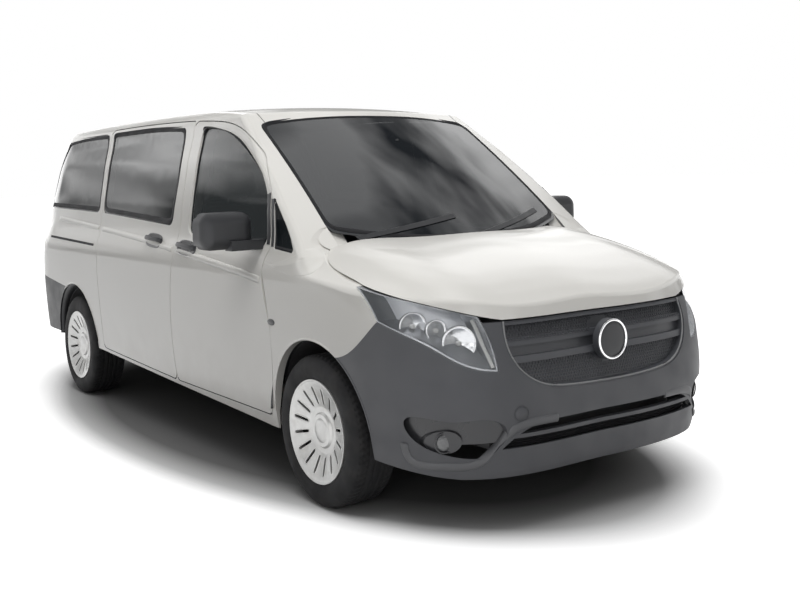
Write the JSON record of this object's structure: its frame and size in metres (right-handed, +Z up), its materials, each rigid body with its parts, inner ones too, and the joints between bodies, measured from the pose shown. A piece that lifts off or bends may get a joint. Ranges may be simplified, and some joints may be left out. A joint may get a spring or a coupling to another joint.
{
  "type": "minibus",
  "caption": "Panel-sided minibus with a short bonnet, rows of seats, swinging front doors, a lifting tailgate and bonnet, and steered front wheels.",
  "frame": {"origin": "On the ground, below the middle of the overall length and width.", "axes": "+X forward, +Y to the vehicle's left, +Z up."},
  "size_m": [5.154, 2.444, 1.8811],
  "materials": {
    "body_paint": "gloss warm white",
    "black_trim": "grained black",
    "bumper_paint": "grained dark grey",
    "clear_glass": "clear",
    "tinted_glass": "tinted",
    "lamp_glass": "clear",
    "lamp_bowl": "bright",
    "fog_lamp": "gloss",
    "red_lamp": "red",
    "grille": "satin dark grey",
    "chassis": "satin black",
    "cast": "as cast",
    "steel": "dull",
    "exhaust_steel": "dull",
    "tank_plastic": "matte",
    "tyre": "matte",
    "wheel_silver": "satin silver",
    "floor_carpet": "matte",
    "dash_plastic": "grained",
    "seat_fabric": "woven",
    "wheel_rim_plastic": "grained"
  },
  "bodies": {
    "body": {"roof_panel": "body_paint", "side_frame_right": "body_paint", "side_frame_left": "body_paint", "sliding_door_right": "body_paint", "sliding_door_left": "body_paint", "fender_right": "body_paint", "fender_left": "body_paint", "front_bumper": "bumper_paint", "rear_bumper": "black_trim", "windscreen": "clear_glass", "fixed_side_glass": "tinted_glass", "radiator_grille": "grille", "headlamps": "lamp_glass", "lamp_bowls": "lamp_bowl", "fog_lamps": "fog_lamp", "tail_lamps": "red_lamp", "floor_pan": "floor_carpet", "front_structure": "chassis", "dashboard": "dash_plastic", "front_seats": "seat_fabric", "middle_seats": "seat_fabric", "rear_seats": "seat_fabric", "front_subframe": "chassis", "rear_axle": "chassis", "engine_block": "cast", "fuel_tank": "tank_plastic", "exhaust": "exhaust_steel", "wipers": "black_trim"},
    "door_right": {"front_door_right": "body_paint", "door_glass_right": "clear_glass", "door_mirror_right": "black_trim"},
    "upright_right": {"knuckle_right": "cast"},
    "door_left": {"front_door_left": "body_paint", "door_glass_left": "clear_glass", "door_mirror_left": "black_trim"},
    "upright_left": {"knuckle_left": "cast"},
    "tailgate_lid": {"tailgate": "body_paint", "tailgate_glass": "tinted_glass"},
    "bonnet_lid": {"bonnet": "body_paint"},
    "steering": {"steering_wheel": "wheel_rim_plastic"},
    "roller_front_right": {"wheel_front_right": "wheel_silver", "tyre_front_right": "tyre"},
    "roller_front_left": {"wheel_front_left": "wheel_silver", "tyre_front_left": "tyre"},
    "roller_rear_right": {"wheel_rear_right": "wheel_silver", "tyre_rear_right": "tyre"},
    "roller_rear_left": {"wheel_rear_left": "wheel_silver", "tyre_rear_left": "tyre"}
  },
  "joints": [
    {"name": "steer_left", "type": "hinge", "parent": "body", "child": "upright_left", "pos_m": [1.675, 0.753, 0.33965], "axis": [0, 0, 1], "range_deg": [-36, 36]},
    {"name": "steer_right", "type": "hinge", "parent": "body", "child": "upright_right", "pos_m": [1.675, -0.753, 0.33965], "axis": [0, 0, 1], "range_deg": [-36, 36]},
    {"name": "steering_turn", "type": "hinge", "parent": "body", "child": "steering", "pos_m": [0.8, -0.41, 1.03], "axis": [-0.8829, 0, 0.4695], "range_deg": [-522, 522]},
    {"name": "roll_front_right", "type": "hinge", "parent": "upright_right", "child": "roller_front_right", "pos_m": [1.675, -0.833, 0.33965], "axis": [0, 1, 0], "continuous": true},
    {"name": "roll_front_left", "type": "hinge", "parent": "upright_left", "child": "roller_front_left", "pos_m": [1.675, 0.833, 0.33965], "axis": [0, 1, 0], "continuous": true},
    {"name": "roll_rear_right", "type": "hinge", "parent": "body", "child": "roller_rear_right", "pos_m": [-1.525, -0.823, 0.33965], "axis": [0, 1, 0], "continuous": true},
    {"name": "roll_rear_left", "type": "hinge", "parent": "body", "child": "roller_rear_left", "pos_m": [-1.525, 0.823, 0.33965], "axis": [0, 1, 0], "continuous": true},
    {"name": "door_swing_right", "type": "hinge", "parent": "body", "child": "door_right", "pos_m": [1.3184, -0.964, 0.9], "axis": [0, 0, 1], "range_deg": [0, 65]},
    {"name": "door_swing_left", "type": "hinge", "parent": "body", "child": "door_left", "pos_m": [1.3184, 0.964, 0.9], "axis": [0, 0, -1], "range_deg": [0, 65]},
    {"name": "tailgate_lift", "type": "hinge", "parent": "body", "child": "tailgate_lid", "pos_m": [-2.335, 0, 1.857], "axis": [0, 1, 0], "range_deg": [0, 85]},
    {"name": "bonnet_lift", "type": "hinge", "parent": "body", "child": "bonnet_lid", "pos_m": [1.478, 0, 1.225], "axis": [0, -1, 0], "range_deg": [0, 50]}
  ],
  "couplings": [
    {"joint": "steer_right", "follows": "steer_left", "ratio": 1},
    {"joint": "steering_turn", "follows": "steer_left", "ratio": 14.5}
  ]
}
